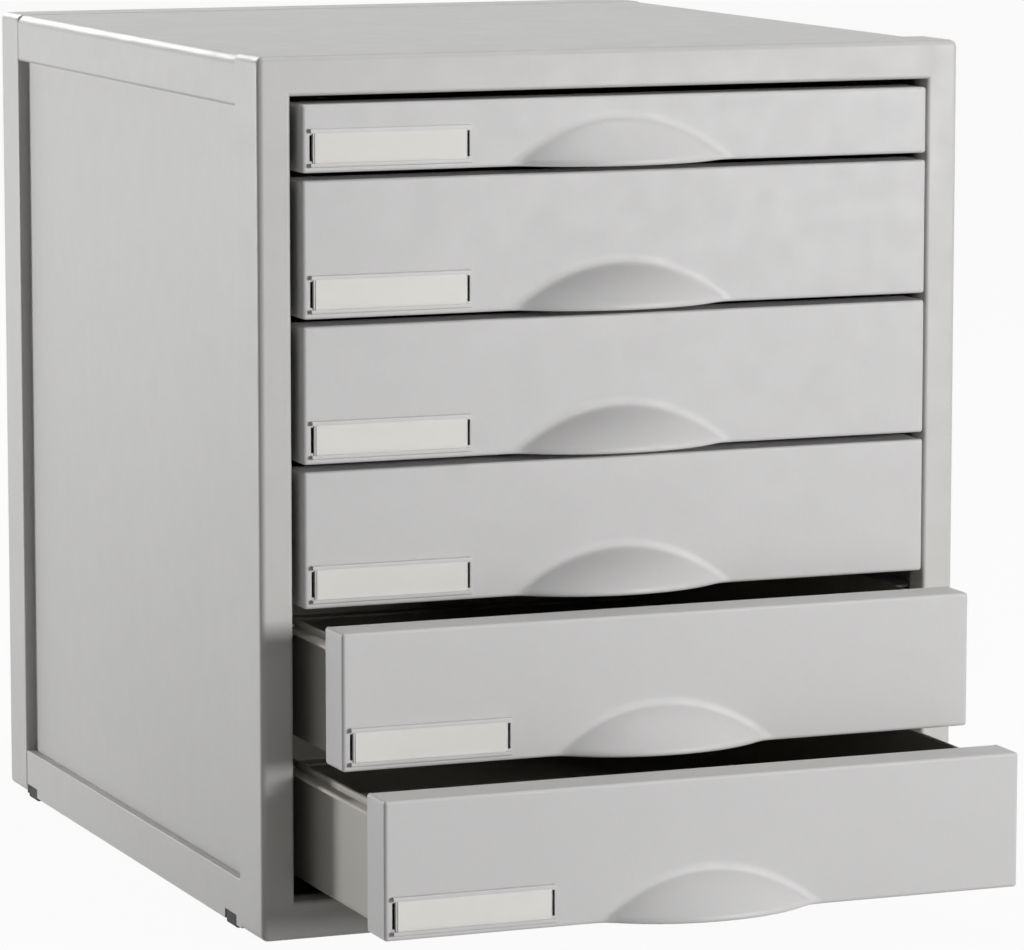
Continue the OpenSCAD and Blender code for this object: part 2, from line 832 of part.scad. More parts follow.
place_drawer(5) label_holder();  // label_holder_5
place_drawer(6) label_holder();  // label_holder_6
place_drawer(1) label_card();  // label_card_1
place_drawer(2) label_card();  // label_card_2
place_drawer(3) label_card();  // label_card_3
place_drawer(4) label_card();  // label_card_4
place_drawer(5) label_card();  // label_card_5
place_drawer(6) label_card();  // label_card_6
place_drawer(1) label_window();  // label_window_1
place_drawer(2) label_window();  // label_window_2
place_drawer(3) label_window();  // label_window_3
place_drawer(4) label_window();  // label_window_4
place_drawer(5) label_window();  // label_window_5
place_drawer(6) label_window();  // label_window_6
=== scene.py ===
# %% [markdown]
# # A folded-steel drawer cabinet, dressed in Blender
# The cabinet's solids come from its CAD model, which is loaded here as a fixed frame: every sheet
# already has its place and its size in metres. The job of this script is what these solids lack:
# the small radii that folded sheet has, the soft form of the pressed finger hoods, powder-coat
# paint, paper and rubber, and the light to see them by. Each new piece is a surface worked out with
# numpy, and it takes the place of one CAD node. Only the ribs in the trays' floors take no node's
# place, because they lie on a new tray.

# %% Load the frame
import math

import bmesh
import bpy
import numpy as np
from mathutils import Matrix, Vector


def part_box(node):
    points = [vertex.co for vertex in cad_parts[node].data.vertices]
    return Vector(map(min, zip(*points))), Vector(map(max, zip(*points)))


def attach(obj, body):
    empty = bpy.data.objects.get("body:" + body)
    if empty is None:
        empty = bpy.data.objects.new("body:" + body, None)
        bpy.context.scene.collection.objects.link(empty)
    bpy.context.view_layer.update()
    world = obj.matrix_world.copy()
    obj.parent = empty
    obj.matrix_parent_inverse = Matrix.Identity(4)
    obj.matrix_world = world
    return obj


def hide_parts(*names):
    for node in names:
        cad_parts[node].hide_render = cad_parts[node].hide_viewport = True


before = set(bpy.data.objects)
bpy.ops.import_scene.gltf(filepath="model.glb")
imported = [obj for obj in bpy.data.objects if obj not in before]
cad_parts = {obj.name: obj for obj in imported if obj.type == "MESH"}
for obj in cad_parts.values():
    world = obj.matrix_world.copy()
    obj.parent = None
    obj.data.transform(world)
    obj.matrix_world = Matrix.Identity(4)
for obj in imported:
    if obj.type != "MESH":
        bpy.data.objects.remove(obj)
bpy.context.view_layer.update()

# %% [markdown]
# ## Measures
# Numbers are easier to compare with a steel rule when they are in millimetres, so the pieces are
# worked out in millimetres and turned into metres only where a mesh is made. Floor, lamps and camera
# are in metres. The planes of the cabinet are read from the boxes of the CAD nodes, so that a new
# piece can't drift away from its solid.

# %% Planes of the cabinet
MM = 0.001
DRAWERS = range(1, 7)
SHEET = 1.0
THIN_SHEET = 0.8
FOLD = 1.5


def box_mm(node):
    """Lowest and highest corner of a CAD node in millimetres, as two arrays."""
    low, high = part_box(node)
    return np.array(low) / MM, np.array(high) / MM


frame_low, frame_high = box_mm("front_frame")
rear_low, rear_high = box_mm("rear_frame")
cover_low, cover_high = box_mm("top_cover")
recess_x = -box_mm("left_side_panel")[0][0]
recess_bottom = box_mm("base_panel")[0][2]
print("front frame:", frame_low.round(1), frame_high.round(1), "recess from", round(recess_bottom, 1))

# %% [markdown]
# ## Putting arrays into meshes
# A grid is a table of points: rows run one way over the surface and columns the other. Four
# neighbours make one face, so the faces are index arithmetic on the whole table. A sheet that ends
# in mid-air could face either way, so the piece is turned until its outermost face looks out.

# %% Tables of points and their faces
def grid_faces(rows, columns, close_rows=False, close_columns=False):
    """Quads of a table of points: (i, j), (i, j + 1), (i + 1, j + 1), (i + 1, j)."""
    i = np.arange(rows if close_rows else rows - 1)[:, None]
    j = np.arange(columns if close_columns else columns - 1)[None, :]
    below, beside = (i + 1) % rows, (j + 1) % columns
    corners = [i * columns + j, i * columns + beside, below * columns + beside, below * columns + j]
    return np.stack(np.broadcast_arrays(*corners), -1).reshape(-1, 4)


def joined(*parts):
    """Several (points, faces) pairs as one pair: later indices move up by the points before them."""
    starts = np.cumsum([0] + [len(points) for points, _ in parts])
    faces = [[int(k) + start for k in face] for (_, some), start in zip(parts, starts) for face in some]
    return np.concatenate([np.asarray(points, float) for points, _ in parts]), faces


def moved(part, offset):
    """The same part, shifted by an offset in millimetres."""
    return np.asarray(part[0], float) + offset, part[1]


print("a table of 3 x 4 points has", len(grid_faces(3, 4)), "faces")

# %% Meshes that face outward, and pieces that ride on a body
SHARP_ANGLE, MERGE_DISTANCE = math.radians(35), 1e-6


def turned_out(mesh, outward):
    """Merges doubles, lets all faces agree, and flips them if the outermost one looks inward."""
    work = bmesh.new()
    work.from_mesh(mesh)
    bmesh.ops.remove_doubles(work, verts=work.verts, dist=MERGE_DISTANCE)
    bmesh.ops.recalc_face_normals(work, faces=work.faces)
    outward = Vector(outward)
    outermost = max(work.faces, key=lambda face: face.calc_center_median().dot(outward))
    if outermost.normal.dot(outward) < 0:
        bmesh.ops.reverse_faces(work, faces=work.faces)
    work.to_mesh(mesh)
    work.free()


def make_piece(name, part, body, material, stands_for=(), wall=0.0, outward=(0, 0, 1)):
    """Makes a piece from (points in mm, faces). A wall above 0 gives an open sheet its thickness."""
    mesh = bpy.data.meshes.new(name)
    mesh.from_pydata((part[0] * MM).tolist(), [], [list(map(int, face)) for face in part[1]])
    turned_out(mesh, outward)
    mesh.materials.append(material)
    mesh.shade_smooth()
    piece = bpy.data.objects.new(name, mesh)
    bpy.context.scene.collection.objects.link(piece)
    if wall:
        thick = piece.modifiers.new("wall", "SOLIDIFY")
        thick.thickness, thick.offset, thick.use_even_offset = wall * MM, -1, True
    split = piece.modifiers.new("sharp edges", "EDGE_SPLIT")
    split.split_angle = SHARP_ANGLE
    even = piece.modifiers.new("flat faces stay flat", "WEIGHTED_NORMAL")
    even.mode, even.weight = "FACE_AREA", 50
    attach(piece, body)
    if stands_for:
        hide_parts(*stands_for)
    return piece


print("edges sharper than", round(math.degrees(SHARP_ANGLE)), "degrees stay crisp")

# %% [markdown]
# ## Folded sheet
# A press brake bends flat sheet over a small radius, and those radii are what catch the light on a
# cabinet. The CAD model has the larger ones and leaves the others sharp. Here the middle line of the
# sheet is drawn as a path with corners, each corner becomes an arc, and the sheet is that path
# shifted half a thickness to either side. One function then serves the frames, the cover, the trays
# and the label holders.

# %% Paths with rounded corners, and the sheet along them
def folded_path(corners, radii, steps=6):
    """Rounds a polyline: at each corner the tangent turns evenly, and the point is the arc's centre
    minus the radius times the left normal, signed by the side it turns to. Returns points, normals."""
    corners = np.asarray(corners, float)
    legs = np.diff(corners, axis=0)
    legs /= np.linalg.norm(legs, axis=1)[:, None]
    points, normals = [corners[:1]], [[[-legs[0, 1], legs[0, 0]]]]
    for corner, a, b, radius in zip(corners[1:-1], legs[:-1], legs[1:], radii):
        turn = math.atan2(a[0] * b[1] - a[1] * b[0], a @ b)
        angle = np.linspace(0, turn, steps + 1)[:, None]
        tangent = np.cos(angle) * a + np.sin(angle) * [-a[1], a[0]]
        left = np.stack([-tangent[:, 1], tangent[:, 0]], -1)
        start = corner - a * radius * math.tan(abs(turn) / 2)
        centre = start + math.copysign(radius, turn) * left[0]
        points.append(centre - math.copysign(radius, turn) * left)
        normals.append(left)
    points.append(corners[-1:])
    normals.append([[-legs[-1, 1], legs[-1, 0]]])
    return np.concatenate(points), np.concatenate([np.asarray(n, float) for n in normals])


def sheet_section(corners, radii, thickness, steps=6):
    """Closed outline of a folded sheet: the path shifted by +t/2, then back along the path at -t/2."""
    path, normal = folded_path(corners, radii, steps)
    return np.concatenate([path + normal * thickness / 2, (path - normal * thickness / 2)[::-1]])


def swept(section, axis, start, end):
    """A closed section of two coordinates, carried along an axis: a tube of quads with end caps made
    of the quads between the sheet's two sides."""
    count, half = len(section), len(section) // 2
    points = np.insert(np.repeat(section[None], 2, 0), axis, 0.0, axis=2)
    points[0, :, axis], points[1, :, axis] = start, end
    i = np.arange(half - 1)
    cap = np.stack([i, i + 1, count - 2 - i, count - 1 - i], -1)
    faces = np.concatenate([grid_faces(2, count, close_columns=True), cap, cap[:, ::-1] + count])
    return points.reshape(-1, 3), faces


def rounded_loops(half_width, low, high, radius, y, steps=6):
    """Rounded rectangles in X and Z, one per row: corner centre + radius * (cos, sin)."""
    sizes = (half_width, low, high, radius, y)
    half_width, low, high, radius, y = (np.asarray(size, float)[:, None] for size in sizes)
    angle = (np.arange(4)[:, None] * math.pi / 2 + np.linspace(0, math.pi / 2, steps + 1)).ravel()
    side_x = np.repeat([1, -1, -1, 1], steps + 1)
    side_z = np.repeat([1, 1, -1, -1], steps + 1)
    x = side_x * (half_width - radius) + radius * np.cos(angle)
    z = (low + high) / 2 + side_z * ((high - low) / 2 - radius) + radius * np.sin(angle)
    return np.stack([x, np.broadcast_to(y, x.shape), z], -1)


corner_points, _ = folded_path([(0, 0), (10, 0), (10, 10)], [FOLD])
print("an L with one fold has", len(corner_points), "points")

# %% [markdown]
# ## Paint, paper, metal and rubber
# Powder coat isn't flat: it has a fine orange-peel skin, and its tone drifts a little over a large
# sheet. Paper, rubber and rolled steel vary in the same way on scales of their own, so the effect
# is one node group with its own inputs. It reads Object coordinates, which are metres here, and
# puts out a colour, a roughness and a normal. The shader itself stays in each material, so that
# every constant sits on its own socket.

# %% Small helpers for node trees
NOISE_LOW, NOISE_HIGH = 0.25, 0.75


def link(tree, source, target):
    """Joins an output socket to an input socket."""
    tree.links.new(source, target)


def group_with(name, inputs, outputs):
    """A shader node group with sockets given as (name, type, default)."""
    group = bpy.data.node_groups.new(name, "ShaderNodeTree")
    for label, kind, default in inputs:
        socket = group.interface.new_socket(name=label, in_out="INPUT", socket_type=kind)
        socket.default_value = default
    for label, kind in outputs:
        group.interface.new_socket(name=label, in_out="OUTPUT", socket_type=kind)
    return group, group.nodes.new("NodeGroupInput"), group.nodes.new("NodeGroupOutput")


def noise(tree, coordinates, scale, detail):
    """Noise over Object coordinates. Its scale is in waves per metre."""
    node = tree.nodes.new("ShaderNodeTexNoise")
    node.inputs["Scale"].default_value = scale
    node.inputs["Detail"].default_value = detail
    link(tree, coordinates, node.inputs["Vector"])
    return node.outputs["Fac"]


def in_range(tree, value, low, high):
    """Maps a noise value from the middle half, where most of them lie, to low..high."""
    node = tree.nodes.new("ShaderNodeMapRange")
    spans = {"From Min": NOISE_LOW, "From Max": NOISE_HIGH, "To Min": low, "To Max": high}
    for label, number in spans.items():
        node.inputs[label].default_value = number
    link(tree, value, node.inputs["Value"])
    return node.outputs["Result"]


def scaled(tree, vector, factor):
    """A vector or colour times a number."""
    node = tree.nodes.new("ShaderNodeVectorMath")
    node.operation = "SCALE"
    link(tree, vector, node.inputs[0])
    link(tree, factor, node.inputs["Scale"])
    return node.outputs["Vector"]


def arithmetic(tree, operation, first, second):
    """One Math node; each side is a socket or a number."""
    node = tree.nodes.new("ShaderNodeMath")
    node.operation = operation
    for socket, value in zip(node.inputs, (first, second)):
        if hasattr(value, "is_output"):
            link(tree, value, socket)
        else:
            socket.default_value = value
    return node.outputs[0]


print("noise values are spread from", NOISE_LOW, "to", NOISE_HIGH)

# %% The group that every finish uses
DRIFT_WAVES, SPECK_WAVES, DUST_WAVES, GLOSS_WAVES = 7.0, 420.0, 26.0, 90.0
GLOSS_SPREAD, BUMP_METRES = 0.06, 0.0001


def build_skin_group():
    """Colour: colour * (1 + drift * (wave + speck) + dust, where a face looks up). Skin: bump of a fine
    noise. Roughness: middle value plus a medium noise. Waves are counted per metre."""
    group, given, out = group_with(
        "sheet skin",
        [
            ("Color", "NodeSocketColor", (0.6, 0.6, 0.6, 1)), ("Drift", "NodeSocketFloat", 0.03),
            ("Dust", "NodeSocketFloat", 0.04), ("Grain", "NodeSocketFloat", 1400.0),
            ("Skin Strength", "NodeSocketFloat", 0.12), ("Roughness", "NodeSocketFloat", 0.45),
        ],
        [
            ("Color", "NodeSocketColor"), ("Roughness", "NodeSocketFloat"), ("Normal", "NodeSocketVector"),
        ],
    )
    place = group.nodes.new("ShaderNodeTexCoord").outputs["Object"]
    wave = in_range(group, noise(group, place, DRIFT_WAVES, 2.0), -1.0, 1.0)
    speck = in_range(group, noise(group, place, SPECK_WAVES, 3.0), -0.5, 0.5)
    drift = arithmetic(group, "MULTIPLY", arithmetic(group, "ADD", wave, speck), given.outputs["Drift"])
    facing = group.nodes.new("ShaderNodeSeparateXYZ")
    link(group, group.nodes.new("ShaderNodeNewGeometry").outputs["Normal"], facing.inputs[0])
    level = arithmetic(group, "MAXIMUM", facing.outputs["Z"], 0.0)
    patch = in_range(group, noise(group, place, DUST_WAVES, 4.0), 0.0, 1.0)
    dust = arithmetic(
        group, "MULTIPLY", arithmetic(group, "MULTIPLY", level, patch), given.outputs["Dust"]
    )
    tone = arithmetic(group, "ADD", arithmetic(group, "ADD", drift, dust), 1.0)
    link(group, scaled(group, given.outputs["Color"], tone), out.inputs["Color"])
    rough = in_range(group, noise(group, place, GLOSS_WAVES, 3.0), -GLOSS_SPREAD, GLOSS_SPREAD)
    link(group, arithmetic(group, "ADD", rough, given.outputs["Roughness"]), out.inputs["Roughness"])
    fine = group.nodes.new("ShaderNodeTexNoise")
    fine.inputs["Detail"].default_value = 2.0
    link(group, place, fine.inputs["Vector"])
    link(group, given.outputs["Grain"], fine.inputs["Scale"])
    bump = group.nodes.new("ShaderNodeBump")
    bump.inputs["Distance"].default_value = BUMP_METRES
    link(group, given.outputs["Skin Strength"], bump.inputs["Strength"])
    link(group, fine.outputs["Fac"], bump.inputs["Height"])
    link(group, bump.outputs["Normal"], out.inputs["Normal"])
    return group


skin_group = build_skin_group()
print("node group made:", skin_group.name)

# %% Materials
def skin_material(name, color, drift, dust, grain, strength, rough, metallic=0.0, specular=0.5):
    """A Principled shader fed by the sheet skin group."""
    material = bpy.data.materials.new(name)
    material.use_nodes = True
    tree = material.node_tree
    shader = tree.nodes["Principled BSDF"]
    skin = tree.nodes.new("ShaderNodeGroup")
    skin.node_tree = skin_group
    for label, value in (
        ("Color", (*color, 1.0)), ("Drift", drift), ("Dust", dust), ("Grain", grain),
        ("Skin Strength", strength), ("Roughness", rough),
    ):
        skin.inputs[label].default_value = value
    link(tree, skin.outputs["Color"], shader.inputs["Base Color"])
    link(tree, skin.outputs["Roughness"], shader.inputs["Roughness"])
    link(tree, skin.outputs["Normal"], shader.inputs["Normal"])
    shader.inputs["Metallic"].default_value = metallic
    shader.inputs["Specular IOR Level"].default_value = specular
    return material


# Name, colour, drift, dust, grain in waves per metre, strength of the skin, roughness
cabinet_paint = skin_material("cabinet paint", (0.56, 0.555, 0.54), 0.022, 0.03, 1500, 0.10, 0.46)
drawer_paint = skin_material("drawer paint", (0.60, 0.592, 0.59), 0.020, 0.02, 1500, 0.10, 0.48)
tray_paint = skin_material("tray paint", (0.45, 0.43, 0.39), 0.025, 0.03, 1300, 0.12, 0.52)
holder_paint = skin_material("holder paint", (0.62, 0.612, 0.61), 0.020, 0.02, 1800, 0.08, 0.40)
runner_zinc = skin_material("runner zinc", (0.62, 0.63, 0.64), 0.10, 0.0, 240, 0.20, 0.38, metallic=0.9)
rivet_steel = skin_material("rivet steel", (0.66, 0.66, 0.66), 0.05, 0.0, 900, 0.15, 0.34, metallic=1.0)
screw_steel = skin_material("screw steel", (0.60, 0.60, 0.60), 0.06, 0.0, 700, 0.18, 0.36, metallic=1.0)
foot_rubber = skin_material("foot rubber", (0.03, 0.03, 0.03), 0.25, 0.30, 900, 0.35, 0.78, specular=0.35)
label_paper = skin_material("label paper", (0.84, 0.82, 0.78), 0.030, 0.0, 2600, 0.12, 0.70)
print("skins:", ", ".join(m.name for m in bpy.data.materials if m.name[-5:] in ("paint", "steel")))

# %% Clear window
clear_window = skin_material("clear window", (0.90, 0.92, 0.93), 0.01, 0.02, 500, 0.04, 0.16)
window_alpha = clear_window.node_tree.nodes["Principled BSDF"].inputs["Alpha"]
window_alpha.default_value = 0.03
print("window alpha:", round(window_alpha.default_value, 3))

# %% [markdown]
# ## Front and rear frames
# Each frame is one strip of sheet folded into a channel and closed into a ring: a lip holds the side
# panels, a flange gives the depth, a face shows, and on the front frame a return lines the drawer
# opening. The same rounded rectangle is drawn once for every point of that channel's section, with
# its size taken from the section, so the ring is a table that closes both ways. The rear frame's
# lower lip is then raised a little, because the recess lies further in there than at the sides.

# %% Front frame
LEAST_CORNER = 0.3


def frame_ring(section, half_width, low, high, inset_x, inset_low, inset_high, corner):
    """Rings for a section of (inset, y): half_width - inset, and z insets read from the x inset."""
    inset = section[:, 0]
    loops = rounded_loops(
        half_width - inset, low + np.interp(inset, inset_x, inset_low),
        high - np.interp(inset, inset_x, inset_high), np.maximum(corner - inset, LEAST_CORNER),
        section[:, 1],
    )
    return loops.reshape(-1, 3), grid_faces(len(loops), loops.shape[1], True, True)


stile_w, rail_w, opening_return = 13.5, 15.5, 12.0
FRAME_BEND, FRAME_CORNER, LIP_FOLD, RETURN_FOLD = 2.5, 3.0, 0.8, 1.0
OUTER_EDGE, INNER_EDGE, REAR_EDGE = 4.0, 3.0, 2.0
half, lip = SHEET / 2, recess_bottom - frame_low[2]
front_y, lip_y = frame_low[1], frame_high[1]
front_section = sheet_section(
    [
        (lip, lip_y - half), (half, lip_y - half), (half, front_y + half),
        (stile_w - half, front_y + half), (stile_w - half, front_y + opening_return),
    ],
    [LIP_FOLD, FRAME_BEND - half, RETURN_FOLD], SHEET, 8,
)
stile_insets = [0, OUTER_EDGE, stile_w - INNER_EDGE, stile_w]
rail_insets = [0, OUTER_EDGE, rail_w - INNER_EDGE, rail_w]
front_ring = frame_ring(
    front_section, frame_high[0], frame_low[2], frame_high[2], stile_insets, rail_insets, rail_insets,
    FRAME_CORNER,
)
make_piece("front_frame_sheet", front_ring, "cabinet", cabinet_paint, ["front_frame"])
print("front frame section has", len(front_section), "points")

# %% Rear frame
ring_w, rear_y, rear_lip_y = 14.0, rear_high[1], rear_low[1]
rear_lip = rear_high[0] - recess_x
rear_section = sheet_section(
    [
        (rear_lip, rear_lip_y + half), (half, rear_lip_y + half), (half, rear_y - half),
        (ring_w, rear_y - half),
    ],
    [LIP_FOLD, FRAME_BEND - half], SHEET, 8,
)
is_lip = rear_section[:, 1] < (rear_lip_y + rear_y) / 2
rear_insets = [0, REAR_EDGE, rear_lip, ring_w]
lip_rise = recess_bottom - rear_low[2] - rear_lip
rear_ring = frame_ring(
    rear_section, rear_high[0], rear_low[2], rear_high[2], rear_insets, rear_insets, rear_insets,
    FRAME_CORNER,
)
rear_points = rear_ring[0].reshape(len(rear_section), -1, 3)
low_side = (rear_points[..., 2] < rear_low[2] + ring_w + 1) & is_lip[:, None]
share_of_lip = np.clip((rear_section[:, 0] - REAR_EDGE) / (rear_lip - REAR_EDGE), 0, 1)
rear_points[..., 2] += low_side * lip_rise * share_of_lip[:, None]
make_piece(
    "rear_frame_sheet", (rear_points.reshape(-1, 3), rear_ring[1]), "cabinet",
    cabinet_paint, ["rear_frame"],
)
print("rear frame section has", len(rear_section), "points")

# %% [markdown]
# ## Top cover and back panel
# The cover is one sheet bent over both long edges with a larger radius, so it is a folded section
# carried along the depth. The back panel has two pressed ribs that keep it from drumming. A rib is a
# height over the sheet: full inside, and falling smoothly to nothing over its slope.

# %% Top cover
cover_r, SKIRT_FOLD, skirt_x = 4.0, 1.0, cover_high[0]
cover_corners = [
    (-recess_x, cover_low[2] + half), (-skirt_x + half, cover_low[2] + half),
    (-skirt_x + half, cover_high[2] - half), (skirt_x - half, cover_high[2] - half),
    (skirt_x - half, cover_low[2] + half), (recess_x, cover_low[2] + half),
]
cover_radii = [SKIRT_FOLD, cover_r - half, cover_r - half, SKIRT_FOLD]
cover_section = sheet_section(cover_corners, cover_radii, SHEET, 10)
make_piece(
    "top_cover_sheet", swept(cover_section, 1, cover_low[1], cover_high[1]), "cabinet",
    cabinet_paint, ["top_cover"],
)
print("cover spans", cover_low.round(1), "to", cover_high.round(1))

# %% Back panel with pressed ribs
back_low, back_high = box_mm("back_panel")
rib_h, rib_w, rib_offset, rib_reach = 3.0, 16.0, 70.0, 110.0
back_mid = frame_high[2] / 2


def rib_height(x, z):
    """Rise r: (half the rib's width - distance from its middle line) / rib height, held in 0..1.
    Height: rib height * (3 r^2 - 2 r^3), which eases both ends of the slope."""
    across = np.minimum(abs(z - back_mid - rib_offset), abs(z - back_mid + rib_offset))
    along = np.maximum(abs(x) - (rib_reach - rib_w / 2), 0)
    rise = np.clip((rib_w / 2 - np.hypot(across, along)) / rib_h, 0, 1)
    return rib_h * rise * rise * (3 - 2 * rise)


rib_rows, rib_ends = np.linspace(-rib_w / 2 - 1, rib_w / 2 + 1, 37), np.linspace(-12, 2, 29) + rib_reach
fine_z = [back_mid + side * rib_offset + rib_rows for side in (-1, 1)]
back_x = np.unique(np.concatenate([
    np.linspace(back_low[0], back_high[0], 9), -rib_ends, rib_ends,
]).round(4))
back_z = np.unique(np.concatenate([np.linspace(back_low[2], back_high[2], 9), *fine_z]).round(4))
grid_z, grid_x = np.meshgrid(back_z, back_x, indexing="ij")
back_y = back_low[1] + THIN_SHEET + rib_height(grid_x, grid_z)
back_grid = np.stack([grid_x, back_y, grid_z], -1).reshape(-1, 3)
make_piece(
    "back_panel_sheet", (back_grid, grid_faces(*grid_x.shape)), "cabinet",
    cabinet_paint, ["back_panel"], wall=THIN_SHEET, outward=(0, 1, 0),
)
print("back panel grid:", grid_x.shape)

# %% [markdown]
# ## Finger hoods
# The hood is pressed out of the drawer front's own sheet: a soft band under the arc, where the sheet
# only starts to lean, a leaning barrel below it, and a short upright lip that the fingers pull on.
# Seen from the front every level line is the same arc, only lower. So the stand-out depends on one
# number, the depth below the arc. The table below says how steeply the sheet leans at each depth,
# because that is what the light shows; its running sum is the stand-out.

# %% The hood as a height over the face
HOOD_HALF, HOOD_H, HOOD_RISE = 50.0, 21.0, 12.47
HOOD_R = (HOOD_HALF**2 + HOOD_RISE**2) / (2 * HOOD_RISE)
LIP_H = 2.2
LEAN_DEPTHS = [0, 0.6, 3.3, 4.8, HOOD_H - LIP_H]
LEAN_SLOPES = [0, 0.10, 0.26, 1.12, 0.80]

# The section table: steps of depth, and a window that rounds each change of lean over 1 mm
depth_step, window_steps = 0.05, 21
LIP_FADE, LIP_EASE = 8, 0.3
depth_steps = np.arange(-6.0, 30.0, depth_step)
slope = np.interp(depth_steps, LEAN_DEPTHS, LEAN_SLOPES)
press_window = np.hanning(window_steps)
smooth_slope = np.convolve(
    np.pad(slope, window_steps // 2, mode="edge"), press_window / press_window.sum(), mode="valid"
)
hood_section = np.cumsum(smooth_slope) * depth_step


def arc_height(x):
    """Height of the hood's outline: (sqrt(R^2 - x^2) - (R - rise)) * height / rise."""
    circle = np.sqrt(np.clip(HOOD_R**2 - x**2, 0, None))
    return (circle - (HOOD_R - HOOD_RISE)) * HOOD_H / HOOD_RISE


def stand_out(x, z):
    """How far the sheet stands out of the face: the section table, read at the depth below the arc.
    Below the lip's height the depth stays, so the lip is upright."""
    arc = arc_height(x)
    lip = LIP_H * np.clip(arc / LIP_FADE, 0, 1)
    held = (z + lip + np.sqrt((z - lip) ** 2 + LIP_EASE)) / 2
    return np.interp(arc - held, depth_steps, hood_section)


print("stand-out at the lip's middle:", round(float(stand_out(np.array(0.0), np.array(0.0))), 2), "mm")

# %% [markdown]
# ## Drawer fronts
# A front is a shallow pan: the face turns over a small radius into the sides, over a tight fold into
# the top and bottom, and each of these ends in a flange at the back. Its outline seen from above
# gives the columns of a table and heights give the rows. The folds are quarter circles added below
# and above, and flat plates close the top and the bottom. The hood only changes how far the face's
# points stand out. The slots of the label holder are holes, so their faces are left out.

# %% Plan of a drawer front
FRONT_HALF, FRONT_D, EDGE_R, EDGE_FOLD = 133.6, 20.0, 1.5, 1.2
SIDE_FLANGE, END_FLANGE = 16.0, 8.0
NOTCH_HALF, NOTCH_BACK = 35.0, 16.5
HOLDER_LEFT, HOLDER_W, HOLDER_H, HOLDER_LOW, HOLDER_LIP = -130.6, 66.5, 15.0, 2.2, 1.6
SLOT_W, SLOT_END = 1.3, 0.8
PLAN_STEPS, FLANGE_GAP, HEM_DEPTH, HEM_FADE = 8, 0.05, 3.0, 4
FACE_REACH, FACE_COLUMNS, HOOD_COLUMNS, HOOD_ROWS = 126, 19, 159, 38


def front_outline():
    """Plan of a front from the left flange round to the right one, with inward normals."""
    half_plan, inward = folded_path(
        [(-FRONT_HALF + SIDE_FLANGE, FRONT_D), (-FRONT_HALF, FRONT_D), (-FRONT_HALF, 0), (0, 0)],
        [FOLD, EDGE_R], PLAN_STEPS,
    )
    half_plan, inward = half_plan[:-1], inward[:-1]
    slots = [HOLDER_LEFT, HOLDER_LEFT + SLOT_W, HOLDER_LEFT + HOLDER_W - SLOT_W, HOLDER_LEFT + HOLDER_W]
    face_x = np.unique(np.concatenate([
        np.linspace(-FACE_REACH, FACE_REACH, FACE_COLUMNS),
        np.linspace(-HOOD_HALF - 2, HOOD_HALF + 2, HOOD_COLUMNS), slots, [-HOOD_HALF, HOOD_HALF],
    ]).round(4))
    face = np.stack([face_x, np.zeros_like(face_x)], -1)
    face_in = np.broadcast_to([0.0, 1.0], face.shape)
    outline = np.concatenate([half_plan, face, (half_plan * [-1, 1])[::-1]])
    return outline, np.concatenate([inward, face_in, (inward * [-1, 1])[::-1]]), len(half_plan)


print("plan of a front has", len(front_outline()[0]), "points")

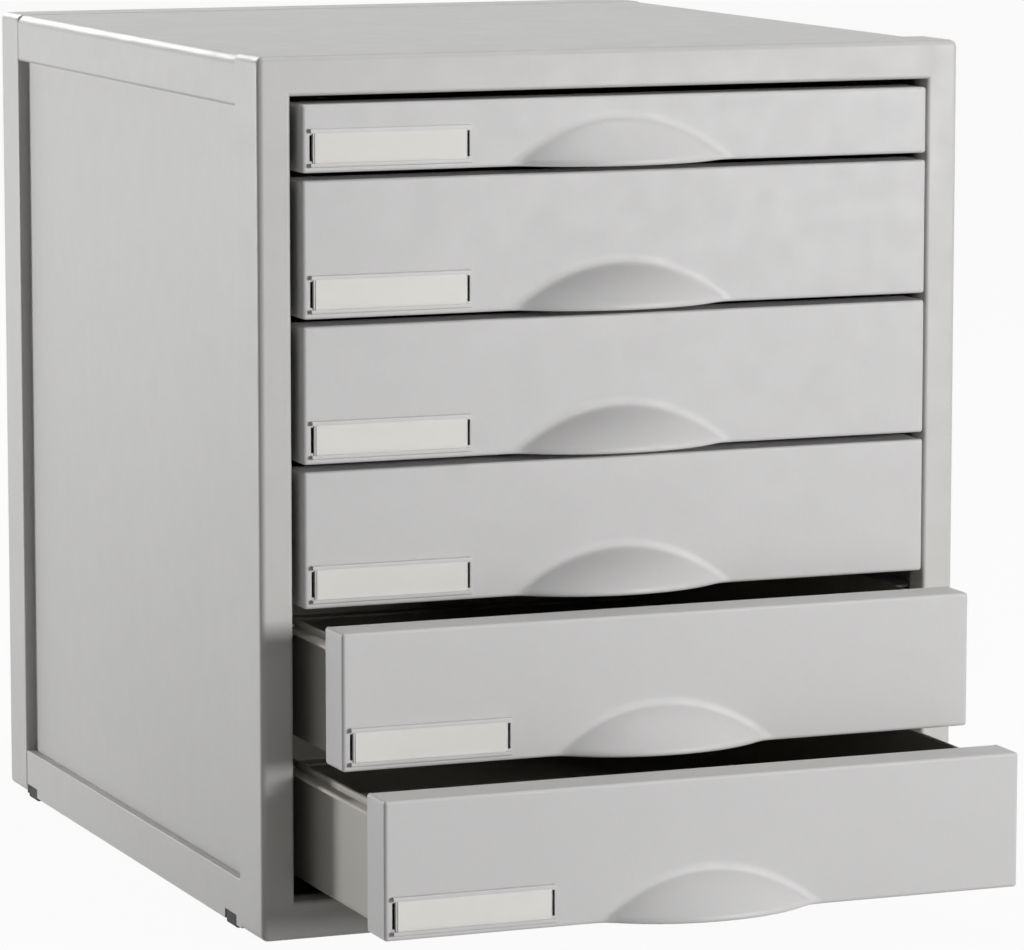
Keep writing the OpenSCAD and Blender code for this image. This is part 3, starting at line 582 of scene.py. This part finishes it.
# %% The front as tables of points
def front_part(height):
    """(points, faces) of a drawer front in its own place: y = 0 is the face, z = 0 its lower edge."""
    plan, inward, first_face = front_outline()
    on_face = np.zeros(len(plan))
    on_face[first_face:-first_face] = 1
    slot_z = [HOLDER_LOW + HOLDER_LIP + SLOT_END, HOLDER_LOW + HOLDER_H - HOLDER_LIP - SLOT_END]
    levels = np.unique(np.concatenate([
        np.linspace(EDGE_FOLD, HOOD_H + 2, HOOD_ROWS), slot_z,
        np.linspace(HOOD_H + 2, height - EDGE_FOLD, 4),
    ]).round(4))

    def row(z, inset):
        """One row of the table: the plan, inset, with the hood's stand-out taken off Y."""
        place = plan + inward * inset
        out = stand_out(plan[:, 0], np.full(len(plan), z)) * on_face
        return np.stack([place[:, 0], place[:, 1] - out, np.full(len(plan), z)], -1)

    turn = np.linspace(0, math.pi / 2, 7)[1:]
    wall = np.stack([row(z, 0.0) for z in levels])
    faces = grid_faces(*wall.shape[:2])
    centre = wall.reshape(-1, 3)[faces].mean(1)
    middle_x = centre[:, 0]
    in_slot = (middle_x > HOLDER_LEFT) & (middle_x < HOLDER_LEFT + HOLDER_W)
    in_slot &= (middle_x < HOLDER_LEFT + SLOT_W) | (middle_x > HOLDER_LEFT + HOLDER_W - SLOT_W)
    in_slot &= (centre[:, 2] > slot_z[0]) & (centre[:, 2] < slot_z[1]) & (centre[:, 1] < 1)
    parts = [(wall.reshape(-1, 3), faces[~in_slot])]

    edge = slice(PLAN_STEPS + 1, len(plan) - PLAN_STEPS - 1)
    rear_edge = FRONT_D - SHEET - FLANGE_GAP - FOLD
    for end, sign in ((0.0, 1), (height, -1)):
        fold = [wall[0 if sign > 0 else -1]]
        fold += [
            row(end + sign * EDGE_FOLD * (1 - math.sin(t)), EDGE_FOLD * (1 - math.cos(t))) for t in turn
        ]
        fold = np.stack(fold)[:, edge]
        parts.append((fold.reshape(-1, 3), grid_faces(*fold.shape[:2])))
        rim = fold[-1]
        side = FRONT_HALF - EDGE_FOLD
        back = [(side, rear_edge, end), (-side, rear_edge, end)]
        if sign > 0:
            left, right = rim[rim[:, 0] <= -HOOD_HALF], rim[rim[:, 0] >= HOOD_HALF]
            notch = [
                (-NOTCH_HALF, EDGE_FOLD, end), (-NOTCH_HALF, NOTCH_BACK, end),
                (NOTCH_HALF, NOTCH_BACK, end), (NOTCH_HALF, EDGE_FOLD, end),
            ]
            plate = np.concatenate([left, notch, right, back])
            under = rim[abs(rim[:, 0]) <= HOOD_HALF]
            hem = under.copy()
            hem[:, 1] += HEM_DEPTH * np.clip((HOOD_HALF - abs(hem[:, 0])) / HEM_FADE, 0, 1)
            parts.append((np.concatenate([under, hem]), grid_faces(2, len(under))))
        else:
            plate = np.concatenate([rim, back])
        parts.append((plate, [list(range(len(plate)))]))
        flange_path = [(rear_edge, 0), (rear_edge + FOLD, 0), (rear_edge + FOLD, END_FLANGE)]
        flange, _ = folded_path(flange_path, [FOLD])
        flange_rows = np.stack([
            np.stack([np.full(len(flange), x), flange[:, 0], end + sign * flange[:, 1]], -1)
            for x in (-side, side)
        ], 1)
        parts.append((flange_rows.reshape(-1, 3), grid_faces(len(flange), 2)))
    return joined(*parts)


print("a front 50 mm high has", len(front_part(50.0)[1]), "faces")

# %% Six drawer fronts
front_place = {}
for n in DRAWERS:
    low, high = box_mm(f"front_{n}")
    front_place[n] = np.array([0, high[1] - FRONT_D, low[2]])
    part = moved(front_part(high[2] - low[2]), front_place[n])
    make_piece(
        f"front_{n}_sheet", part, f"drawer_{n}", drawer_paint, [f"front_{n}"],
        wall=SHEET, outward=(0, -1, 0),
    )
print("drawer faces at y =", [round(float(front_place[n][1]), 1) for n in DRAWERS])

# %% [markdown]
# ## Trays
# A tray's walls end in a hem: the sheet is folded flat over the top, comes down outside to the rim,
# runs outward and ends in a turned-down lip, which slides in the runner. That whole journey is one
# folded section from rim to rim, carried along the drawer. The end walls have a hem of their own,
# and ribs pressed up in the floor keep it stiff under a stack of paper.

# %% Walls, floor and lugs of a tray
WALL_X, RIM_X, TRAY_LIFT, RIM_LIP = 128.0, 132.5, 1.0, 1.8
RIM_DROP, HEM_H, LUG_REACH, LUG_LENGTH, END_FOOT, END_HEM = 7.8, 2.7, 6.0, 9.0, 9.0, 6.0
FOLD_RADII, END_RADII, END_GAP = [0.8, 0.41, 0.39, 0.39, 1.2], [1.0, 0.39, 0.39], 0.05


def tray_part(height, length):
    """(points, faces) of a tray: y = 0 is its front wall, z = 0 the drawer front's lower edge."""
    t = THIN_SHEET / 2
    rim, hem = height - RIM_DROP, height - RIM_DROP + HEM_H
    right = [
        (WALL_X - t, TRAY_LIFT + t), (WALL_X - t, hem - t), (WALL_X + t, hem - t),
        (WALL_X + t, rim - t), (RIM_X - t, rim - t), (RIM_X - t, rim - RIM_LIP),
    ]
    left = [(-x, z) for x, z in reversed(right)]
    section = sheet_section(left + right, FOLD_RADII + FOLD_RADII[::-1], THIN_SHEET, 5)
    parts = [swept(section, 1, 0.0, length)]
    for start, sign in ((0.0, 1), (length, -1)):
        wall = [
            (start + sign * END_FOOT, TRAY_LIFT + 3 * t), (start + sign * t, TRAY_LIFT + 3 * t),
            (start + sign * t, hem - t), (start + sign * 3 * t, hem - t),
            (start + sign * 3 * t, hem - END_HEM),
        ]
        reach = WALL_X - THIN_SHEET - END_GAP
        parts.append(swept(sheet_section(wall, END_RADII, THIN_SHEET, 5), 0, -reach, reach))
    for side in (-1, 1):
        inner, outer = side * (RIM_X - t), side * (RIM_X + LUG_REACH)
        lug = [(inner, rim - t), ((inner + outer) / 2, rim - t), (outer, rim - t)]
        parts.append(swept(sheet_section(lug, [0.0], THIN_SHEET, 1), 1, length - LUG_LENGTH, length))
    return joined(*parts)


print("a tray 50 mm high and 300 mm long has", len(tray_part(50.0, 300.0)[1]), "faces")

# %% Ribs pressed up in a tray's floor
TRAY_RIB_H, TRAY_RIB_W, TRAY_RIB_END, RIB_SLOPE, RIB_LIFT = 1.6, 10.0, 22.0, 1.4, 0.02
RIB_END_FROM, RIB_END_TO = 98, 108


def rib_patches(length):
    """Three ribs. Rise r: distance inward from the rib's edge / (slope * rib height), held in 0..1.
    Height: rib height * (3 r^2 - 2 r^3)."""
    x = np.concatenate([
        np.linspace(-RIB_END_TO, -RIB_END_FROM, 16), np.linspace(RIB_END_FROM, RIB_END_TO, 16),
    ])
    y = np.linspace(-TRAY_RIB_W / 2 - 1, TRAY_RIB_W / 2 + 1, 25)
    grid_y, grid_x = np.meshgrid(y, x, indexing="ij")
    along = np.maximum(abs(grid_x) - (WALL_X - TRAY_RIB_END - TRAY_RIB_W / 2), 0)
    rise = np.clip((TRAY_RIB_W / 2 - np.hypot(grid_y, along)) / (RIB_SLOPE * TRAY_RIB_H), 0, 1)
    floor = TRAY_LIFT + THIN_SHEET + RIB_LIFT
    patch = np.stack([grid_x, grid_y, floor + TRAY_RIB_H * rise * rise * (3 - 2 * rise)], -1)
    faces = grid_faces(*grid_x.shape)
    return joined(*[(patch.reshape(-1, 3) + [0, length * k / 4, 0], faces) for k in (1, 2, 3)])


print("a rib patch is", len(rib_patches(300.0)[0]) // 3, "points")

# %% Six trays
for n in DRAWERS:
    low, high = box_mm(f"front_{n}")
    height = high[2] - low[2]
    tray_low, tray_high = box_mm(f"tray_{n}")
    place = front_place[n] + [0, FRONT_D, 0]
    length = tray_high[1] - tray_low[1]
    make_piece(
        f"tray_{n}_sheet", moved(tray_part(height, length), place), f"drawer_{n}",
        tray_paint, [f"tray_{n}"],
    )
    make_piece(
        f"tray_{n}_ribs", moved(rib_patches(length), place), f"drawer_{n}", tray_paint,
        wall=THIN_SHEET / 2,
    )
print("trays are", round(float(length), 1), "mm long")

# %% [markdown]
# ## Rivets, screws and feet
# Round parts are a half section turned about an axis. After the last point of a ring comes the first
# again, so the table closes one way. At the pole the ring shrinks to almost nothing, and one small
# polygon shuts it. The screws' cross recess is a depth taken off the dome wherever a point lies in
# one of two bars.

# %% Turned parts
def turned(profile, sides=32):
    """A profile of (radius, height) turned about Z: (r cos a, r sin a, h)."""
    angle = np.linspace(0, 2 * math.pi, sides, endpoint=False)
    r, h = np.asarray(profile, float)[:, :1], np.asarray(profile, float)[:, 1:]
    points = np.stack([r * np.cos(angle), r * np.sin(angle), np.broadcast_to(h, (len(r), sides))], -1)
    rings = len(points)
    caps = [list(range(sides)), list(range((rings - 1) * sides, rings * sides))]
    faces = [list(f) for f in grid_faces(rings, sides, close_columns=True)] + caps
    return points.reshape(-1, 3), faces


def laid_along_y(part):
    """Swaps Y and Z of a part made about Z, so that its height runs along Y."""
    points, faces = part
    return points[:, [0, 2, 1]], faces


def dome(radius, height, steps=8):
    """Cap of a ball: height * cos of an angle outward, radius * sin of it."""
    t = np.linspace(math.pi / 2, 0.06, steps)
    return np.stack([radius * np.sin(t), height * np.cos(t)], -1)


print("a dome is a profile of", len(dome(3.0, 1.2)), "points")

# %% Rivets through tray and front
RIVET_R, RIVET_HEAD_R, RIVET_HEAD_H, TAIL_R, TAIL_END_R, TAIL_H = 1.6, 3.0, 1.2, 2.5, 2.3, 0.9
RIVET_X, RIVET_LOW, RIVET_BELOW_TOP, ONE_ROW_HEIGHT = 123.0, 12.0, 15.0, 33

grip = -SHEET - THIN_SHEET
shaft = [
    (TAIL_END_R, grip - TAIL_H), (TAIL_R, grip - 0.6), (TAIL_R, grip), (RIVET_R, grip), (RIVET_R, 0.0),
    (RIVET_HEAD_R, 0.0),
]
rivet = laid_along_y(turned(np.concatenate([shaft, dome(RIVET_HEAD_R, RIVET_HEAD_H)])))
for n in DRAWERS:
    low, high = box_mm(f"front_{n}")
    height = high[2] - low[2]
    rows = [RIVET_LOW, height - RIVET_BELOW_TOP] if height > ONE_ROW_HEIGHT else [RIVET_LOW]
    place = front_place[n] + [0, FRONT_D + THIN_SHEET, 0]
    rivets = joined(*[moved(rivet, place + [side * RIVET_X, 0, z]) for side in (-1, 1) for z in rows])
    make_piece(f"rivets_{n}", rivets, f"drawer_{n}", rivet_steel, [f"tray_rivets_{n}"])
print("rivets on", len(front_place), "drawers")

# %% Screws with a cross recess
SCREW_R, SCREW_H, BAR_HALF, BAR_REACH, BAR_DEPTH = 3.5, 2.15, 0.5, 2.2, 0.9
SCREW_RINGS, SCREW_SIDES = 26, 64


def screw_part():
    """Dome: height * sqrt(1 - (r / R)^2), minus the recess where a point lies within half a bar's
    width of the X or Y axis and within the bar's reach along it."""
    ring = np.linspace(SCREW_R, 0.02, SCREW_RINGS)[:, None]
    angle = np.linspace(0, 2 * math.pi, SCREW_SIDES, endpoint=False)[None, :]
    x, y = ring * np.cos(angle), ring * np.sin(angle)
    top = SCREW_H * np.sqrt(np.clip(1 - (ring / SCREW_R) ** 2, 0, 1)) * np.ones_like(x)
    in_bar = (np.minimum(abs(x), abs(y)) < BAR_HALF) & (np.maximum(abs(x), abs(y)) < BAR_REACH)
    top = top - BAR_DEPTH * in_bar
    head = np.stack([x, y, top], -1)
    faces = [list(f) for f in grid_faces(*x.shape, close_columns=True)]
    faces.append([(SCREW_RINGS - 1) * SCREW_SIDES + k for k in range(SCREW_SIDES)])
    points, shank = turned([(0.6, -8.0), (1.9, -7.2), (1.9, 0.0), (SCREW_R, 0.0)], SCREW_SIDES)
    return joined((head.reshape(-1, 3), faces), (points, shank[:-1]))


SCREW_HEIGHTS, LOW_SCREW, HIGH_SCREW = (31.5, 175.0, 320.0), 9.5, 342.0
side_x = box_mm("back_screws")[1][0] - SCREW_R
screw_places = [(side * side_x, z) for side in (-1, 1) for z in SCREW_HEIGHTS]
screw_places += [(0.0, LOW_SCREW), (0.0, HIGH_SCREW)]
screws = joined(*[moved(laid_along_y(screw_part()), [x, rear_y, z]) for x, z in screw_places])
make_piece(
    "panel_screws", screws, "cabinet", screw_steel, ["back_screws"], outward=(0, 1, 0)
)
print(len(screw_places), "screws")

# %% Rubber feet
feet_low, feet_high = box_mm("feet")
FOOT_R, FOOT_X, NOSE_R, EASE_SHARE = 6.5, 139.65, 0.8, 0.7
foot_y = (feet_low[1] + FOOT_R, feet_high[1] - FOOT_R)
pad_top, head_low, head_top = recess_bottom - SHEET, recess_bottom + SHEET, feet_high[2]
nose = feet_high[0] - FOOT_X


def pad_outline(inset, steps=20):
    """Plan of a pad: a half circle r (cos a, sin a) toward the middle, and a nose that runs straight
    outward and ends in two small quarter circles."""
    angle = np.linspace(math.pi / 2, -math.pi / 2, steps)
    arc = (FOOT_R - inset) * np.stack([np.cos(angle), np.sin(angle)], -1)
    eased = NOSE_R - inset
    turn = np.linspace(0, math.pi / 2, 5)[:, None]
    corner = np.array([-nose + NOSE_R, -FOOT_R + NOSE_R])
    low = corner - eased * np.concatenate([np.sin(turn), np.cos(turn)], 1)
    return np.concatenate([arc, low, (low * [1, -1])[::-1]])


def foot_part():
    """The pad's outline, stacked at five heights with eased edges, and the stem and head above it."""
    stack = [(1.0, 0.0), (0.3, 0.3), (0.0, 0.9), (0.0, pad_top - 0.5), (0.4, pad_top)]
    rings = np.stack([np.insert(pad_outline(inset * EASE_SHARE), 2, z, axis=1) for inset, z in stack])
    count = rings.shape[1]
    faces = [list(f) for f in grid_faces(len(rings), count, close_columns=True)]
    faces += [list(range(count)), [(len(rings) - 1) * count + k for k in range(count)]]
    stem = turned([
        (0.3, pad_top), (2.5, pad_top), (2.5, head_low), (3.75, head_low), (3.75, head_top - 0.6),
        (3.2, head_top), (0.3, head_top),
    ], 40)
    return joined((rings.reshape(-1, 3), faces), stem)


left_foot = foot_part()
right_foot = left_foot[0] * [-1, 1, 1], left_foot[1]
feet = joined(*[
    moved(foot, [side * FOOT_X, y, 0])
    for side, foot in ((-1, left_foot), (1, right_foot)) for y in foot_y
])
make_piece("rubber_feet", feet, "cabinet", foot_rubber, ["feet"])
print("feet at y =", [round(float(y), 2) for y in foot_y])

# %% [markdown]
# ## Label holders
# A holder is a strip with its long edges turned over twice, so that a card and a clear window slide
# in from the end. At each end the strip is cut away behind, and the front is slotted there, which
# lets a fingertip push the card out. The cards are left blank, ready to be written on.

# %% Label holder
HOLDER_SHEET, HOLDER_FOLD, HOLDER_DEPTH = 0.5, 0.3, 1.75


def holder_part():
    """Middle stretch: the full channel. End stretches: only the turned-over edges."""
    t, out = HOLDER_SHEET / 2, HOLDER_DEPTH
    top = [
        (-out, HOLDER_H - HOLDER_LIP), (-out, HOLDER_H - t), (-t, HOLDER_H - t),
        (-t, HOLDER_H - HOLDER_LIP),
    ]
    bottom = [(y, HOLDER_H - z) for y, z in top]
    channel = [
        (-out, HOLDER_H - HOLDER_LIP), (-out, HOLDER_H - t), (-t, HOLDER_H - t), (-t, t), (-out, t),
        (-out, HOLDER_LIP),
    ]
    middle_section = sheet_section(channel, [HOLDER_FOLD] * 4, HOLDER_SHEET, 4)
    parts = [swept(middle_section, 0, SLOT_W, HOLDER_W - SLOT_W)]
    for start in (0.0, HOLDER_W - SLOT_W):
        for edge in (top, bottom):
            edge_section = sheet_section(edge, [HOLDER_FOLD] * 2, HOLDER_SHEET, 4)
            parts.append(swept(edge_section, 0, start, start + SLOT_W))
    return joined(*parts)


print("a label holder has", len(holder_part()[1]), "faces")

# %% Cards and clear windows
CARD_SET_BACK, HOLDER_PROUD = 0.08, 0.02


def plate_part(low, high, lift=0.12):
    """A thin plate as three rounded loops: the first is drawn in by the lift, which eases the edge
    of the front, and the other two give its thickness."""
    loops = rounded_loops(
        [(high[0] - low[0]) / 2 - lift, (high[0] - low[0]) / 2, (high[0] - low[0]) / 2],
        [low[2] + lift, low[2], low[2]], [high[2] - lift, high[2], high[2]], [0.3, 0.4, 0.4],
        [low[1], low[1] + lift, high[1]], 4,
    )
    count = loops.shape[1]
    faces = [list(f) for f in grid_faces(3, count, close_columns=True)]
    faces += [list(range(count)), list(range(2 * count, 3 * count))]
    return loops.reshape(-1, 3) + [(low[0] + high[0]) / 2, 0, 0], faces


for n in DRAWERS:
    body = f"drawer_{n}"
    holder = moved(holder_part(), front_place[n] + [HOLDER_LEFT, -HOLDER_PROUD, HOLDER_LOW])
    make_piece(f"holder_{n}", holder, body, holder_paint, [f"label_holder_{n}"])
    card_low, card_high = box_mm(f"label_card_{n}")
    make_piece(
        f"card_{n}", plate_part(card_low + [0, CARD_SET_BACK, 0], card_high, 0.05), body,
        label_paper, [f"label_card_{n}"],
    )
    make_piece(
        f"window_{n}", plate_part(*box_mm(f"label_window_{n}")), body, clear_window,
        [f"label_window_{n}"],
    )
print("label holders:", len(front_place))

# %% [markdown]
# ## CAD nodes that stay
# Flat panels, the base rails and the runners already have their real shape. They keep their meshes
# and get paint or zinc, with a weld, because their triangles are loose, and a small bevel for the
# light to find their edges.

# %% Materials and eased edges for the nodes that stay
WELD_DISTANCE, BEVEL_ANGLE = 0.00001, math.radians(50)


def keep_node(name, material, width):
    """Gives a CAD node its material, a weld, and a bevel of a width in millimetres."""
    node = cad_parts[name]
    for slot in node.material_slots:
        slot.material = material
    weld = node.modifiers.new("weld", "WELD")
    weld.merge_threshold = WELD_DISTANCE
    bevel = node.modifiers.new("eased edges", "BEVEL")
    bevel.width, bevel.segments, bevel.limit_method = width * MM, 3, "ANGLE"
    bevel.angle_limit = BEVEL_ANGLE


for kept in ("base_panel", "left_side_panel", "right_side_panel"):
    keep_node(kept, cabinet_paint, 0.2)
for kept in ("left_base_rail", "right_base_rail"):
    keep_node(kept, cabinet_paint, 0.45)
for side in ("left", "right"):
    for n in DRAWERS:
        keep_node(f"{side}_runner_{n}", runner_zinc, 0.3)
print("nodes kept as they are:", sum(1 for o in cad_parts.values() if len(o.modifiers)))

# %% [markdown]
# ## Floor, light and camera
# The cabinet stands on a pale floor. A key lamp low on the right lights the fronts, so that the
# hoods show their roundness and open drawers throw a shadow on the left stile. A second one, low on
# the left and behind, lights the side without reaching the fronts. A third stands high behind and
# draws a bright line along the cover's rounded edge, and a weak one overhead lights the top.
# Camera rays see the floor almost white; the little of it that is really lit keeps the shadow.

# %% Floor
WHITE, FLOOR_GREY = (1.0, 1.0, 1.0, 1.0), (0.60, 0.60, 0.60, 1.0)
FLOOR_GLOW, FLOOR_REACH, AMBIENT, BACKDROP = 0.95, 8, 0.04, 1.0


def seen_by_camera(tree):
    """1 for camera, glossy and transmission rays, so that metal and glass see the white too."""
    path = tree.nodes.new("ShaderNodeLightPath")
    first = arithmetic(tree, "MAXIMUM", path.outputs["Is Camera Ray"], path.outputs["Is Glossy Ray"])
    return arithmetic(tree, "MAXIMUM", first, path.outputs["Is Transmission Ray"])


floor_mesh = bpy.data.meshes.new("floor")
floor_corners = [(x * FLOOR_REACH, y * FLOOR_REACH, 0) for x, y in ((-1, -1), (1, -1), (1, 1), (-1, 1))]
floor_mesh.from_pydata(floor_corners, [], [(0, 1, 2, 3)])
floor = bpy.data.objects.new("floor", floor_mesh)
bpy.context.scene.collection.objects.link(floor)
floor_material = bpy.data.materials.new("pale floor")
floor_material.use_nodes = True
tree = floor_material.node_tree
tree.nodes.remove(tree.nodes["Principled BSDF"])
matt, glow, mix = (tree.nodes.new("ShaderNode" + k) for k in ("BsdfDiffuse", "Emission", "MixShader"))
matt.inputs["Color"].default_value = FLOOR_GREY
glow.inputs["Color"].default_value = WHITE
link(tree, arithmetic(tree, "MULTIPLY", seen_by_camera(tree), FLOOR_GLOW), mix.inputs["Fac"])
link(tree, matt.outputs[0], mix.inputs[1])
link(tree, glow.outputs[0], mix.inputs[2])
link(tree, mix.outputs[0], tree.nodes["Material Output"].inputs["Surface"])
floor_mesh.materials.append(floor_material)
print("floor reaches", FLOOR_REACH, "m each way")

# %% World
world = bpy.data.worlds.new("studio")
bpy.context.scene.world = world
world.use_nodes = True
tree = world.node_tree
ambient, backdrop = tree.nodes["Background"], tree.nodes.new("ShaderNodeBackground")
ambient.inputs["Color"].default_value, ambient.inputs["Strength"].default_value = WHITE, AMBIENT
backdrop.inputs["Color"].default_value, backdrop.inputs["Strength"].default_value = WHITE, BACKDROP
mix = tree.nodes.new("ShaderNodeMixShader")
link(tree, seen_by_camera(tree), mix.inputs["Fac"])
link(tree, ambient.outputs[0], mix.inputs[1])
link(tree, backdrop.outputs[0], mix.inputs[2])
link(tree, mix.outputs[0], tree.nodes["World Output"].inputs["Surface"])
print("ambient strength", AMBIENT)

# %% Lamps
def area_lamp(name, place, aim, size, watts):
    """A square lamp whose -Z axis points at its aim."""
    data = bpy.data.lights.new(name, "AREA")
    data.size, data.energy = size, watts
    lamp = bpy.data.objects.new(name, data)
    lamp.location = place
    lamp.rotation_euler = (Vector(aim) - Vector(place)).to_track_quat("-Z", "Y").to_euler()
    bpy.context.scene.collection.objects.link(lamp)


# Name, place, aim, size and power in watts; all aim near the middle of the cabinet's height
lamp_aim = (0.0, 0.0, 0.17)
area_lamp("right key", (1.27, -2.31, 0.52), lamp_aim, 0.6, 45)
area_lamp("left behind", (-1.65, 1.6, 0.2), lamp_aim, 0.5, 28)
area_lamp("rim", (-0.35, 2.3, 1.15), lamp_aim, 0.8, 20)
area_lamp("overhead", (0.25, -0.18, 1.9), lamp_aim, 0.8, 10.5)

# %% Camera
AZIMUTH, ELEVATION = math.radians(-21.687), math.radians(8.024)
CAMERA_PLACE, SENSOR, LENS = (-0.84168, -2.17976, 0.48633), 36.0, 193.42
back_axis = Vector((
    math.sin(AZIMUTH) * math.cos(ELEVATION), -math.cos(AZIMUTH) * math.cos(ELEVATION),
    math.sin(ELEVATION),
))
right_axis = Vector((0, 0, 1)).cross(back_axis).normalized()
up_axis = back_axis.cross(right_axis)
camera_data = bpy.data.cameras.new("camera")
camera_data.sensor_width, camera_data.lens = SENSOR, LENS
camera_data.clip_start, camera_data.clip_end = 0.1, 30.0
camera = bpy.data.objects.new("camera", camera_data)
axes = Matrix((right_axis, up_axis, back_axis)).transposed()
camera.matrix_world = Matrix.Translation(CAMERA_PLACE) @ axes.to_4x4()
bpy.context.scene.collection.objects.link(camera)
bpy.context.scene.camera = camera
bpy.context.scene.view_settings.view_transform = "Standard"
print("camera looks along", tuple(round(v, 3) for v in -back_axis))
